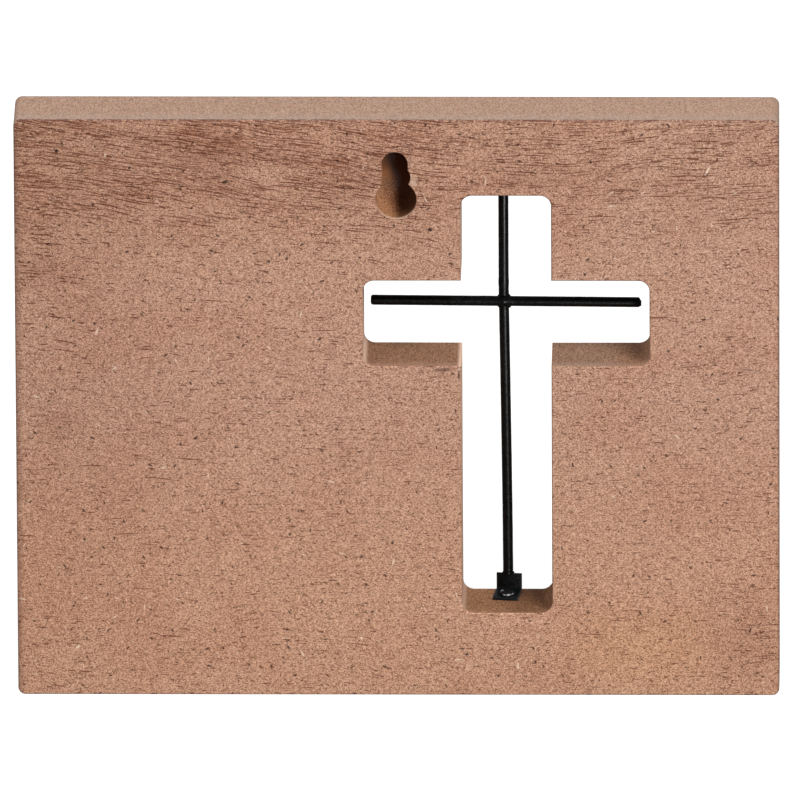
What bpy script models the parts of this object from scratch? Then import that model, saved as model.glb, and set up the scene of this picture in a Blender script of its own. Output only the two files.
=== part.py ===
"""Wall plaque of fibreboard with a cross-shaped window and a black wire cross inside it.

The board stands on its lower edge. Its plain front faces -Y and its raw back, with the
keyhole hanger, faces +Y. The origin is the middle of the underside. Metres, +Z up.
"""
import math

import bmesh
import bpy

# Board
BOARD_WIDTH = 0.2032
BOARD_HEIGHT = 0.1629
BOARD_THICK = 0.01905
BOARD_CORNER_R = 0.002

# Cross-shaped window through the board
WINDOW_X = -0.02905
WINDOW_FOOT_Z = 0.02345
LIMB_WIDTH = 0.024
SHAFT_LENGTH = 0.070
ARM_HEIGHT = 0.024
HEAD_LENGTH = 0.024
ARM_SPAN = 0.0762
WINDOW_CORNER_R = 0.003

# Keyhole hanger in the back: a round entry, and a slot with a wider channel under its lip
KEY_X = 0.0001
KEY_ENTRY_DROP = 0.0226
KEY_ENTRY_DIA = 0.011
KEY_SLOT_WIDTH = 0.007
KEY_SLOT_RISE = 0.010
KEY_SLOT_DRIFT = 0.0003
KEY_SLIP_RISE = 0.0062
KEY_SLIP_SIDE = -0.0004
KEY_LIP = 0.0035
KEY_DEPTH = 0.009
KEY_CHANNEL_EASE = 0.0002

# Wire cross: the upright stands on the bracket, and the crossbar lies against its back
ROD_DIA = 0.0028
ROD_SETBACK = 0.0002
ROD_END_EASE = 0.0004
UPRIGHT_TOP_GAP = 0.0018
UPRIGHT_LEAN = 0.0009
LEAN_CURVE = 1.4
LEAN_STOP = 0.0022
BAR_RISE = 0.00065
BAR_TILT = math.radians(0.48)
BAR_GAP_PLUS_X = 0.0018
BAR_GAP_MINUS_X = 0.0023
BAR_STEP_BACK = 0.0014
WELD_SPREAD = 0.0010
WELD_PROUD = 0.0002

# Foot bracket: one strip folded at a right angle, its flange on the window's lower wall
STRIP_WIDTH = 0.0068
STRIP_THICK = 0.0006
STRIP_BEND_R = 0.0005
PLATE_RISE = 0.0049
FLANGE_REACH = 0.0081
BRACKET_SIDE = -0.0003
BRACKET_TWIST = math.radians(-7.0)

# Screw through the flange
SCREW_REACH = 0.0050
SCREW_HEAD_DIA = 0.0039
SCREW_HEAD_RIM = 0.0005
SCREW_HEAD_HEIGHT = 0.0013
SCREW_SHANK_DIA = 0.0018
SCREW_SHANK_LENGTH = 0.008
SCREW_TIP_LENGTH = 0.0016
RECESS_SPAN = 0.0021
RECESS_SLOT = 0.0006
RECESS_DEPTH = 0.0008

# Clearance kept between pieces that touch
GAP = 0.0003

# Facets
CORNER_STEPS = 10
ROUND_SIDES = 48
ROD_SIDES = 28
ROD_STEPS = 16
SCREW_SIDES = 32
HEAD_STEPS = 5
BEND_STEPS = 6
WELD_RINGS = 10
CUT_PAST = 0.001

# Worked-out places
ROD_Y = -BOARD_THICK / 2 + ROD_SETBACK + ROD_DIA / 2
BACK_Y = BOARD_THICK / 2
WINDOW_HEIGHT = SHAFT_LENGTH + ARM_HEIGHT + HEAD_LENGTH
BAR_Z = SHAFT_LENGTH + ARM_HEIGHT / 2 + BAR_RISE
UPRIGHT_FOOT = PLATE_RISE + GAP
UPRIGHT_TOP = WINDOW_HEIGHT - UPRIGHT_TOP_GAP
KEY_Z = BOARD_HEIGHT - KEY_ENTRY_DROP
FLANGE_TOP = GAP + STRIP_THICK
SHANK_BORE_R = SCREW_SHANK_DIA / 2 + GAP


def clear_scene():
    """Remove whatever the open file holds."""
    for item in list(bpy.data.objects):
        bpy.data.objects.remove(item, do_unlink=True)


def finish(name, colour, roughness, metallic):
    """One plain Principled material."""
    material = bpy.data.materials.new(name)
    material.use_nodes = True
    shader = material.node_tree.nodes["Principled BSDF"]
    shader.inputs["Base Color"].default_value = (*colour, 1.0)
    shader.inputs["Roughness"].default_value = roughness
    shader.inputs["Metallic"].default_value = metallic
    return material


def place(name, shape, parent, material=None):
    """Turn a bmesh into a named object under its parent, with its faces pointing out."""
    bmesh.ops.recalc_face_normals(shape, faces=shape.faces)
    mesh = bpy.data.meshes.new(name)
    shape.to_mesh(mesh)
    shape.free()
    mesh.shade_smooth()
    mesh.set_sharp_from_angle(angle=math.radians(35))
    item = bpy.data.objects.new(name, mesh)
    bpy.context.collection.objects.link(item)
    item.parent = parent
    if material:
        mesh.materials.append(material)
    return item


def empty(name, location, parent=None):
    """A plain axis that pieces hang from."""
    item = bpy.data.objects.new(name, None)
    bpy.context.collection.objects.link(item)
    item.empty_display_size = 0.01
    item.location = location
    item.parent = parent
    return item


def as_cutter(item):
    """Keep a cutting shape out of the finished object."""
    item.hide_render = True
    item.display_type = "WIRE"
    return item


def combine(target, tool, operation="DIFFERENCE"):
    """Cut a hidden shape out of a piece, or join it on."""
    cut = target.modifiers.new(tool.name, "BOOLEAN")
    cut.operation = operation
    cut.solver = "EXACT"
    cut.object = tool


def arc(centre, radius, start, end, steps):
    """Points of an arc, from one angle to the other, in degrees."""
    points = []
    for step in range(steps + 1):
        angle = math.radians(start + (end - start) * step / steps)
        points.append((centre[0] + radius * math.cos(angle), centre[1] + radius * math.sin(angle)))
    return points


def rounded_outline(corners, radius):
    """Outline through square corners; a corner marked round gets an arc, the others stay sharp.

    Each corner is (x, z, turn), where turn is the arc's start angle, or None for a sharp one.
    """
    points = []
    for x, z, turn in corners:
        if turn is None:
            points.append((x, z))
            continue
        middle = math.radians(turn + 45)
        centre_x = x - radius * math.copysign(1, math.cos(middle))
        centre_z = z - radius * math.copysign(1, math.sin(middle))
        points += arc((centre_x, centre_z), radius, turn, turn + 90, CORNER_STEPS)
    return points


def prism(outline, low, high, axis="Y"):
    """Closed prism on an outline: (x, z) points run along Y, (x, y) along Z, (y, z) along X."""
    order = {"X": lambda a, b, c: (c, a, b), "Y": lambda a, b, c: (a, c, b), "Z": lambda a, b, c: (a, b, c)}
    shape = bmesh.new()
    ends = []
    for level in (low, high):
        ends.append([shape.verts.new(order[axis](a, b, level)) for a, b in outline])
    shape.faces.new(ends[0])
    shape.faces.new(reversed(ends[1]))
    count = len(outline)
    for index in range(count):
        after = (index + 1) % count
        shape.faces.new((ends[0][index], ends[1][index], ends[1][after], ends[0][after]))
    return shape


def stadium(centre_x, low_z, high_z, width):
    """Upright slot outline with round ends, between two centres."""
    half = width / 2
    steps = ROUND_SIDES // 2
    return arc((centre_x, low_z), half, 180, 360, steps) + arc((centre_x, high_z), half, 0, 180, steps)


def circle(centre_x, centre_z, diameter, sides=ROUND_SIDES):
    """Round outline."""
    return arc((centre_x, centre_z), diameter / 2, 0, 360 - 360 / sides, sides - 1)


def skinned(rings, first_pole=None, last_pole=None):
    """Closed skin over rings of points; a pole closes an end to a point, or else a flat face does."""
    shape = bmesh.new()
    loops = [[shape.verts.new(point) for point in ring] for ring in rings]
    sides = len(loops[0])
    for near, far in zip(loops, loops[1:]):
        for index in range(sides):
            after = (index + 1) % sides
            shape.faces.new((near[index], near[after], far[after], far[index]))
    for loop, pole in ((loops[0], first_pole), (loops[-1], last_pole)):
        if pole is None:
            shape.faces.new(loop)
            continue
        tip = shape.verts.new(pole)
        for index in range(sides):
            shape.faces.new((loop[index], loop[(index + 1) % sides], tip))
    return shape


def turned(profile, sides):
    """Solid turned about Z from (radius, z) points, closed flat at both ends."""
    rings = []
    for radius, z in profile:
        ring = []
        for side in range(sides):
            angle = 2 * math.pi * side / sides
            ring.append((radius * math.cos(angle), radius * math.sin(angle), z))
        rings.append(ring)
    return skinned(rings)


def rod(start, end, radius, centre_at, along, ease=ROD_END_EASE):
    """Round rod along Z or X with slightly eased ends; centre_at gives its axis at each station."""
    stations = [(start, radius - ease), (start + ease, radius)]
    inner = end - start - 2 * ease
    stations += [(start + ease + inner * step / ROD_STEPS, radius) for step in range(1, ROD_STEPS)]
    stations += [(end - ease, radius), (end, radius - ease)]
    rings = []
    for station, size in stations:
        side_a, side_b = centre_at(station)
        ring = []
        for side in range(ROD_SIDES):
            angle = 2 * math.pi * side / ROD_SIDES
            a = side_a + size * math.cos(angle)
            b = side_b + size * math.sin(angle)
            ring.append((a, b, station) if along == "Z" else (station, a, b))
        rings.append(ring)
    return skinned(rings)


def upright_centre(z):
    """The upright leans to +X up to just above the crossbar, and then runs straight up."""
    share = (z - UPRIGHT_FOOT) / (BAR_Z + LEAN_STOP - UPRIGHT_FOOT)
    share = min(1.0, max(0.0, share))
    return UPRIGHT_LEAN * share ** LEAN_CURVE, 0.0


def crossbar_centre(x):
    """The crossbar lies behind the upright and rises a little towards +X."""
    return BAR_STEP_BACK, BAR_Z + x * math.tan(BAR_TILT)


def build_board(parent, material):
    """The board: a slab with round corners, the cross-shaped window and the keyhole hanger."""
    half = BOARD_WIDTH / 2
    corners = [(half, BOARD_HEIGHT, 0), (-half, BOARD_HEIGHT, 90), (-half, 0, 180), (half, 0, 270)]
    slab = prism(rounded_outline(corners, BOARD_CORNER_R), -BACK_Y, BACK_Y)
    board = place("board", slab, parent, material)

    cutters = [("window_cut", window_outline(), -BACK_Y - CUT_PAST, BACK_Y + CUT_PAST)]
    slot_x = KEY_X + KEY_SLOT_DRIFT
    slot_top = KEY_Z + KEY_SLOT_RISE
    outside = BACK_Y + CUT_PAST
    lip_floor = BACK_Y - KEY_LIP - KEY_CHANNEL_EASE
    entry = circle(KEY_X, KEY_Z, KEY_ENTRY_DIA)
    slot = stadium(slot_x, KEY_Z, slot_top, KEY_SLOT_WIDTH)
    slip = circle(KEY_X + KEY_SLIP_SIDE, KEY_Z + KEY_SLIP_RISE, KEY_SLOT_WIDTH)
    channel = stadium(slot_x, KEY_Z, slot_top, KEY_ENTRY_DIA - 2 * KEY_CHANNEL_EASE)
    cutters.append(("entry_cut", entry, BACK_Y - KEY_DEPTH, outside))
    cutters.append(("slot_cut", slot, lip_floor, outside))
    cutters.append(("slip_cut", slip, lip_floor, outside))
    cutters.append(("channel_cut", channel, BACK_Y - KEY_DEPTH + KEY_CHANNEL_EASE, BACK_Y - KEY_LIP))
    for name, outline, low, high in cutters:
        combine(board, as_cutter(place(name, prism(outline, low, high), parent)))
    return board


def window_outline():
    """The cross: eight round corners where a round cutter turned, four sharp ones at the crossing."""
    limb = LIMB_WIDTH / 2
    reach = ARM_SPAN / 2
    foot = WINDOW_FOOT_Z
    arm_low = foot + SHAFT_LENGTH
    arm_high = arm_low + ARM_HEIGHT
    top = foot + WINDOW_HEIGHT
    right = [
        (limb, foot, 270), (limb, arm_low, None), (reach, arm_low, 270),
        (reach, arm_high, 0), (limb, arm_high, None), (limb, top, 0),
    ]
    left = [
        (-limb, top, 90), (-limb, arm_high, None), (-reach, arm_high, 90),
        (-reach, arm_low, 180), (-limb, arm_low, None), (-limb, foot, 180),
    ]
    corners = [(WINDOW_X + x, z, turn) for x, z, turn in right + left]
    return rounded_outline(corners, WINDOW_CORNER_R)


def build_upright(parent, material):
    """The upright rod of the wire cross."""
    shape = rod(UPRIGHT_FOOT, UPRIGHT_TOP, ROD_DIA / 2, upright_centre, "Z")
    return place("upright_rod", shape, parent, material)


def build_crossbar(parent, material):
    """The crossbar with the weld that holds it, hollowed to sit against the upright."""
    plus_end = ARM_SPAN / 2 - BAR_GAP_PLUS_X
    minus_end = -ARM_SPAN / 2 + BAR_GAP_MINUS_X
    shape = rod(minus_end, plus_end, ROD_DIA / 2, crossbar_centre, "X")
    crossbar = place("crossbar_rod", shape, parent, material)

    weld = as_cutter(place("weld_join", weld_lump(), parent))
    cross_x, cross_y = upright_centre(BAR_Z)
    weld.location = (cross_x, cross_y + BAR_STEP_BACK, crossbar_centre(cross_x)[1])
    combine(crossbar, weld, "UNION")

    saddle = rod(UPRIGHT_FOOT, UPRIGHT_TOP, ROD_DIA / 2 + GAP, upright_centre, "Z")
    combine(crossbar, as_cutter(place("saddle_cut", saddle, parent)))
    return crossbar


def weld_lump():
    """A low rounded lump, wider than the rods and a little proud of them."""
    spread = ROD_DIA / 2 + WELD_SPREAD
    proud = ROD_DIA / 2 + WELD_PROUD
    rings = []
    for ring in range(1, WELD_RINGS):
        tilt = math.pi * ring / WELD_RINGS
        size = math.sin(tilt)
        points = []
        for side in range(ROD_SIDES):
            angle = 2 * math.pi * side / ROD_SIDES
            points.append((spread * size * math.cos(angle), proud * math.cos(tilt),
                           spread * size * math.sin(angle)))
        rings.append(points)
    return skinned(rings, (0, proud, 0), (0, -proud, 0))


def build_bracket(parent, material):
    """The folded strip: a plate under the upright and a flange towards the back, with a hole."""
    half = STRIP_THICK / 2
    outer_r = STRIP_BEND_R + STRIP_THICK
    outer = arc((outer_r - half, GAP + outer_r), outer_r, 180, 270, BEND_STEPS)
    inner = arc((STRIP_BEND_R + half, FLANGE_TOP + STRIP_BEND_R), STRIP_BEND_R, 270, 180, BEND_STEPS)
    flange_end = [(FLANGE_REACH, GAP), (FLANGE_REACH, FLANGE_TOP)]
    plate_end = [(half, PLATE_RISE), (-half, PLATE_RISE)]
    profile = outer + flange_end + inner + plate_end
    shape = prism(profile, -STRIP_WIDTH / 2, STRIP_WIDTH / 2, axis="X")
    bracket = place("foot_bracket", shape, parent, material)
    bracket.location = (BRACKET_SIDE, 0, 0)
    bracket.rotation_euler = (0, 0, BRACKET_TWIST)

    hole = prism(circle(0, 0, 2 * SHANK_BORE_R, SCREW_SIDES), 0, FLANGE_TOP + GAP, axis="Z")
    cutter = as_cutter(place("flange_hole_cut", hole, bracket))
    cutter.location = (0, SCREW_REACH, 0)
    combine(bracket, cutter)
    return bracket


def build_screw(bracket, board, material):
    """The screw that holds the flange down, and its pilot hole in the board."""
    under_head = FLANGE_TOP + GAP
    tip = under_head - GAP - STRIP_THICK - SCREW_SHANK_LENGTH
    head_r = SCREW_HEAD_DIA / 2
    shank_r = SCREW_SHANK_DIA / 2
    profile = [(shank_r * 0.2, tip), (shank_r, tip + SCREW_TIP_LENGTH), (shank_r, under_head)]
    profile.append((head_r, under_head))
    dome = SCREW_HEAD_HEIGHT - SCREW_HEAD_RIM
    for step in range(HEAD_STEPS):
        angle = math.radians(75) * step / (HEAD_STEPS - 1)
        profile.append((head_r * math.cos(angle), under_head + SCREW_HEAD_RIM + dome * math.sin(angle)))
    screw = place("foot_screw", turned(profile, SCREW_SIDES), bracket, material)
    screw.location = (0, SCREW_REACH, 0)

    arm = RECESS_SPAN / 2
    slot = RECESS_SLOT / 2
    quarter = [(arm, -slot), (arm, slot), (slot, slot)]
    plus = []
    for turn in range(4):
        for x, y in quarter:
            for _ in range(turn):
                x, y = -y, x
            plus.append((x, y))
    head_top = under_head + SCREW_HEAD_HEIGHT
    recess = prism(plus, head_top - RECESS_DEPTH, head_top + CUT_PAST, axis="Z")
    combine(screw, as_cutter(place("recess_cut", recess, screw)))

    pilot = prism(circle(0, 0, 2 * SHANK_BORE_R, SCREW_SIDES), tip - GAP, CUT_PAST, axis="Z")
    combine(board, as_cutter(place("pilot_cut", pilot, screw)))
    return screw


def main():
    clear_scene()
    fibreboard = finish("fibreboard", (0.44, 0.245, 0.165), 0.85, 0.0)
    black_paint = finish("black paint", (0.012, 0.012, 0.012), 0.42, 0.0)
    dark_steel = finish("dark steel", (0.10, 0.10, 0.10), 0.35, 1.0)

    plaque = empty("plaque", (0, 0, 0))
    board = build_board(plaque, fibreboard)
    wire_cross = empty("wire_cross", (WINDOW_X, ROD_Y, WINDOW_FOOT_Z), plaque)
    build_upright(wire_cross, black_paint)
    build_crossbar(wire_cross, black_paint)
    bracket = build_bracket(wire_cross, black_paint)
    build_screw(bracket, board, dark_steel)


main()
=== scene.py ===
"""Looks of the wooden cross plaque: raw fibreboard, a black wire cross, its folded foot and screw.

The plaque stands on its lower edge. Its plain front faces -Y, and its raw back, with the
keyhole, faces +Y towards the camera. Metres and +Z up; the materials count in millimetres.
"""
import math

import bmesh
import bpy
from mathutils import Matrix, Vector

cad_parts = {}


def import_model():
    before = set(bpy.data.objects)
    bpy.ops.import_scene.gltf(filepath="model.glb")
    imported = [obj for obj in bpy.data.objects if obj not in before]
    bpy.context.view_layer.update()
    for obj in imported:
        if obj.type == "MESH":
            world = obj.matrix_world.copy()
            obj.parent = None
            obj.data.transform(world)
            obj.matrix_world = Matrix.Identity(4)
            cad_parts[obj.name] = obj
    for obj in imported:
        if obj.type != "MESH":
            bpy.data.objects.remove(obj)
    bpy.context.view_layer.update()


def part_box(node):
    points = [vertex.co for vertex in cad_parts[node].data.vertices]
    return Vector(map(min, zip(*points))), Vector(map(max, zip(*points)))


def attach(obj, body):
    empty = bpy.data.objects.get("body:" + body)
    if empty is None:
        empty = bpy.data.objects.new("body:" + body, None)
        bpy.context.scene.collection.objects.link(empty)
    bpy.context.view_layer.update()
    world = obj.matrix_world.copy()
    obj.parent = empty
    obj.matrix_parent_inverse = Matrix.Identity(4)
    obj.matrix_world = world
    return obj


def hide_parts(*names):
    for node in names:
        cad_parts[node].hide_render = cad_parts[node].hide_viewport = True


MM = 0.001

# How close counts as the same place, and as near it
SAME = 1e-6
NEAR = 1e-5

# Board: corners, and how far each edge is eased
CORNER_R = 2.0 * MM
BACK_EASE = 0.45 * MM
FRONT_EASE = 0.60 * MM
KEYHOLE_EASE = 0.12 * MM
CUT_PAST = 2.0 * MM

# Cross-shaped window
WINDOW_X = -29.05 * MM
WINDOW_FOOT_Z = 23.45 * MM
LIMB_WIDTH = 24.0 * MM
SHAFT_LENGTH = 70.0 * MM
HEAD_LENGTH = 24.0 * MM
ARM_HEIGHT = 24.0 * MM
ARM_SPAN = 76.2 * MM
WINDOW_CORNER_R = 3.0 * MM
WINDOW_MIDDLE_Z = WINDOW_FOOT_Z + (SHAFT_LENGTH + ARM_HEIGHT + HEAD_LENGTH) / 2
ARM_WALL_X = WINDOW_X + ARM_SPAN / 2
SHAFT_WALL_X = WINDOW_X + LIMB_WIDTH / 2

# Keyhole hanger: round entry, slot, the place where the cutter slipped, and the channel
KEY_X = 0.1 * MM
KEY_Z = 140.3 * MM
KEY_ENTRY_R = 5.5 * MM
KEY_SLOT_X = 0.4 * MM
KEY_SLOT_TOP = 150.3 * MM
KEY_SLOT_R = 3.5 * MM
KEY_SLIP_X = -0.3 * MM
KEY_SLIP_Z = 146.5 * MM
KEY_LIP = 3.5 * MM
KEY_DEPTH = 9.0 * MM
KEY_CHANNEL_R = 5.3 * MM
KEY_FLOOR_R = 2.2 * MM
KEY_NEAR_X = 7.0 * MM
KEY_LOWEST_Z = 132.0 * MM
KEY_HIGHEST_Z = 155.0 * MM
CHANNEL_LOW_Z = KEY_Z + 5.0 * MM
CHANNEL_OVERLAP = 0.2 * MM

# Wire cross
WIRE_R = 1.36 * MM
WIRE_Y = -7.925 * MM
BAR_Y = -6.525 * MM
UPRIGHT_FOOT_Z = 28.35 * MM
UPRIGHT_TOP_Z = 139.65 * MM
LEAN_TOP_Z = 108.3 * MM
UPRIGHT_LEAN = 0.9 * MM
LEAN_CURVE = 1.4
UPRIGHT_OFF_MIDDLE = 0.3 * MM
BAR_Z = 106.1 * MM
BAR_TILT = math.radians(0.48)
BAR_LOW_X = -64.85 * MM
BAR_HIGH_X = 7.25 * MM
WIRE_SIDES = 32
WIRE_STEP = 1.5 * MM
END_EASE = 0.6 * MM

# Unevenness of the wires: ripple (strength, size), a lump of paint on the upright (distance from
# its foot, extra share of the radius), dents in the crossbar's end (up or down, from, how deep)
WIRE_RIPPLE = (0.07 * MM, 2.2 * MM)
PAINT_LUMP = (83.4 * MM, 0.06)
BAR_END_DENTS = ((1, 0.2 * MM, 0.30 * MM), (-1, 0.9 * MM, 0.55 * MM))

# Weld: the lump over the crossing, and the beads in its corners (side along X, side along Z, radius)
WELD_BALL_R = 1.42 * MM
WELD_STUB_LENGTH = 5.0 * MM
STUB_R = WIRE_R * 1.01
CORNER_BEADS = (
    (-1, -1, 0.52 * MM),
    (-1, 1, 0.38 * MM),
    (1, -1, 0.26 * MM),
    (1, 1, 0.22 * MM),
)
BEAD_APART = 1.05 * WIRE_R
BEAD_SAG = 0.22 * MM
BEAD_Y = WIRE_Y + 0.7 * MM
BEAD_HALF_DEPTH = 0.7 * MM
WELD_BALL_Y = BAR_Y + 0.1 * MM
WELD_RIPPLE = (0.10 * MM, 0.8 * MM)
MELT_VOXEL = 0.10 * MM
MELT_ROUNDS = 5

# Foot: folded strip, pan-head screw and their holes
STRIP_WIDTH = 6.8 * MM
STRIP_THICK = 0.6 * MM
STRIP_BEND_R = 0.5 * MM
STRIP_LIFT = 0.04 * MM
STRIP_EDGE_EASE = 0.1 * MM
PLATE_TOP = 4.9 * MM
FLANGE_REACH = 8.1 * MM
BRACKET_X = -29.35 * MM
BRACKET_TWIST = math.radians(-7.0)
SCREW_REACH = 5.0 * MM
SCREW_HEAD_R = 1.95 * MM
SCREW_HEAD_RIM = 0.45 * MM
SCREW_HEAD_HEIGHT = 1.3 * MM
SCREW_CORE_R = 0.85 * MM
SCREW_LENGTH = 8.0 * MM
SCREW_TIP_START = 2.0 * MM
SCREW_TIP_LENGTH = 1.6 * MM
SCREW_TIP_SHARE = 0.15
SCREW_DOME_SWEEP = math.radians(78)
SCREW_EDGE_EASE = 0.06 * MM
SCREW_HOLE_R = 1.2 * MM
STRIP_HOLE_CUT = 3.0 * MM
PILOT_RISE = 1.0 * MM
PILOT_DEPTH = SCREW_LENGTH + 1.2 * MM
RECESS_SPAN = 2.1 * MM
RECESS_SLOT = 0.5 * MM
RECESS_DEPTH = 0.8 * MM
RECESS_TURN = 25
RECESS_TAPER = 0.55

# Foot's weld: its stub of wire, and the beads on both sides of it (side along X, radius)
FOOT_STUB_LENGTH = 1.8 * MM
FOOT_STUB_RISE = 0.7 * MM
FOOT_BEADS = ((-1, 0.42 * MM), (1, 0.36 * MM))
FOOT_BEAD_APART = 1.3 * MM
FOOT_BEAD_RISE = 0.1 * MM
FOOT_BEAD_HALF_DEPTH = 0.35 * MM
FOOT_WELD_RIPPLE = (0.06 * MM, 0.7 * MM)


# Modelling by hand

def only(piece):
    """Select one piece alone and make it the one that operators work on."""
    bpy.ops.object.select_all(action="DESELECT")
    piece.select_set(True)
    bpy.context.view_layer.objects.active = piece


def clear_pick():
    """Deselect everything before a new primitive goes in."""
    bpy.ops.object.select_all(action="DESELECT")


def settle(name, scale=(1, 1, 1)):
    """Name the newest primitive and put its place, and its scale if given, into its mesh."""
    piece = bpy.context.object
    piece.scale = Vector(piece.scale) * Vector(scale)
    piece.name = name
    piece.data.name = name
    bpy.ops.object.transform_apply(location=True, rotation=True, scale=True)
    return piece


def pick(piece, kind, test):
    """Open a piece in edit mode with only the verts, edges or faces selected that pass a test."""
    only(piece)
    bpy.ops.object.mode_set(mode="EDIT")
    bpy.ops.mesh.select_mode(type=kind)
    bpy.ops.mesh.select_all(action="DESELECT")
    shape = bmesh.from_edit_mesh(piece.data)
    parts = {"VERT": shape.verts, "EDGE": shape.edges, "FACE": shape.faces}[kind]
    count = 0
    for part in parts:
        if test(part):
            part.select_set(True)
            count += 1
    shape.select_flush_mode()
    bmesh.update_edit_mesh(piece.data)
    return count


def close():
    """Leave edit mode."""
    bpy.ops.object.mode_set(mode="OBJECT")


def modify(piece, kind, **settings):
    """Put one modifier on a piece and apply it."""
    only(piece)
    modifier = piece.modifiers.new(kind.lower(), kind)
    for key, value in settings.items():
        setattr(modifier, key, value)
    bpy.ops.object.modifier_apply(modifier=modifier.name)


def combine(piece, tool, operation="DIFFERENCE"):
    """Cut one shape out of a piece, or join it on, and throw the tool away."""
    modify(piece, "BOOLEAN", object=tool, operation=operation, solver="EXACT")
    bpy.data.objects.remove(tool, do_unlink=True)


def ripple(piece, strength, size, group=""):
    """Push a surface in and out by a soft random pattern of this size."""
    pattern = bpy.data.textures.new(piece.name + "_ripple", "CLOUDS")
    pattern.noise_scale = size
    pattern.noise_depth = 2
    modify(piece, "DISPLACE", texture=pattern, strength=strength, mid_level=0.5,
           texture_coords="LOCAL", vertex_group=group)


def box(name, low, high):
    """A box between two corners."""
    clear_pick()
    low, high = Vector(low), Vector(high)
    bpy.ops.mesh.primitive_cube_add(size=1, location=(low + high) / 2, scale=high - low)
    return settle(name)


def drum(name, x, z, radius, low_y, high_y, sides=64):
    """A round bar along Y, turned half a side so that no corner lies at its middle height."""
    clear_pick()
    bpy.ops.mesh.primitive_cylinder_add(
        vertices=sides, radius=radius, depth=high_y - low_y, end_fill_type="NGON",
        location=(x, (low_y + high_y) / 2, z), rotation=(math.pi / 2, math.pi / sides, 0))
    return settle(name)


def move_picked(x=0.0, y=0.0, z=0.0):
    bpy.ops.transform.translate(value=(x, y, z))


def smooth(piece, degrees):
    """Shade a piece smooth, but for edges sharper than this angle."""
    only(piece)
    bpy.ops.object.shade_smooth_by_angle(angle=math.radians(degrees))


def dress(piece, material, slot, *nodes):
    """Finish a piece: its material, its body and the nodes that it stands for; the slot is not used."""
    piece.data.materials.clear()
    piece.data.materials.append(material)
    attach(piece, "root")
    if nodes:
        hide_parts(*nodes)
    return piece


# Board

def along(edge, axis):
    """Whether an edge runs along one axis."""
    gap = edge.verts[1].co - edge.verts[0].co
    return abs(gap[axis]) > 0.99 * gap.length


def on_side(edge, y):
    """Whether an edge is a corner of the shape that lies in the front or back plane."""
    flat = all(abs(vert.co.y - y) < SAME for vert in edge.verts)
    return flat and edge.calc_face_angle(0) > 0.6


def window_cutter(low_y, high_y):
    """A cross: one cube whose four sides are drawn out, its eight outer corners rounded."""
    half = LIMB_WIDTH / 2
    arm_low = WINDOW_FOOT_Z + SHAFT_LENGTH
    arm_top = arm_low + ARM_HEIGHT
    cutter = box("window_cut", (WINDOW_X - half, low_y, arm_low), (WINDOW_X + half, high_y, arm_top))
    arm = ARM_SPAN / 2 - half
    limbs = [((1, 0, 0), arm), ((-1, 0, 0), arm), ((0, 0, 1), HEAD_LENGTH), ((0, 0, -1), SHAFT_LENGTH)]
    for direction, length in limbs:
        way = Vector(direction)
        side = Vector((WINDOW_X, (low_y + high_y) / 2, arm_low + ARM_HEIGHT / 2)) + way * half
        pick(cutter, "FACE", lambda face: (face.calc_center_median() - side).length < NEAR)
        bpy.ops.mesh.extrude_region_move(TRANSFORM_OT_translate={"value": way * length})
        close()
    low_x, high_x = WINDOW_X - ARM_SPAN / 2, WINDOW_X + ARM_SPAN / 2
    top = arm_top + HEAD_LENGTH
    ends = (low_x, high_x)

    def outer(edge):
        spot = edge.verts[0].co
        at_end = any(abs(spot.x - end) < SAME for end in ends)
        at_end = at_end or abs(spot.z - top) < SAME or abs(spot.z - WINDOW_FOOT_Z) < SAME
        return along(edge, 1) and at_end

    pick(cutter, "EDGE", outer)
    bpy.ops.mesh.bevel(offset=WINDOW_CORNER_R, segments=12, affect="EDGES")
    close()
    return cutter


def slot_cutter(name, x, low_z, high_z, radius, low_y, high_y):
    """A drum whose upper half is drawn up, so that both ends stay round."""
    cutter = drum(name, x, low_z, radius, low_y, high_y)
    if high_z > low_z:
        pick(cutter, "VERT", lambda vert: vert.co.z > low_z)
        move_picked(z=high_z - low_z)
        close()
    return cutter


def ease(piece, y, keyhole, offset, segments=3):
    """Round over the edges in one plane, either the keyhole's or all the others."""
    def mine(edge):
        middle = (edge.verts[0].co + edge.verts[1].co) / 2
        near_key = abs(middle.x - KEY_X) < KEY_NEAR_X and KEY_LOWEST_Z < middle.z < KEY_HIGHEST_Z
        return on_side(edge, y) and near_key == keyhole

    pick(piece, "EDGE", mine)
    bpy.ops.mesh.bevel(offset=offset, segments=segments, affect="EDGES", clamp_overlap=True)
    bpy.ops.object.vertex_group_assign_new()
    close()


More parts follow.
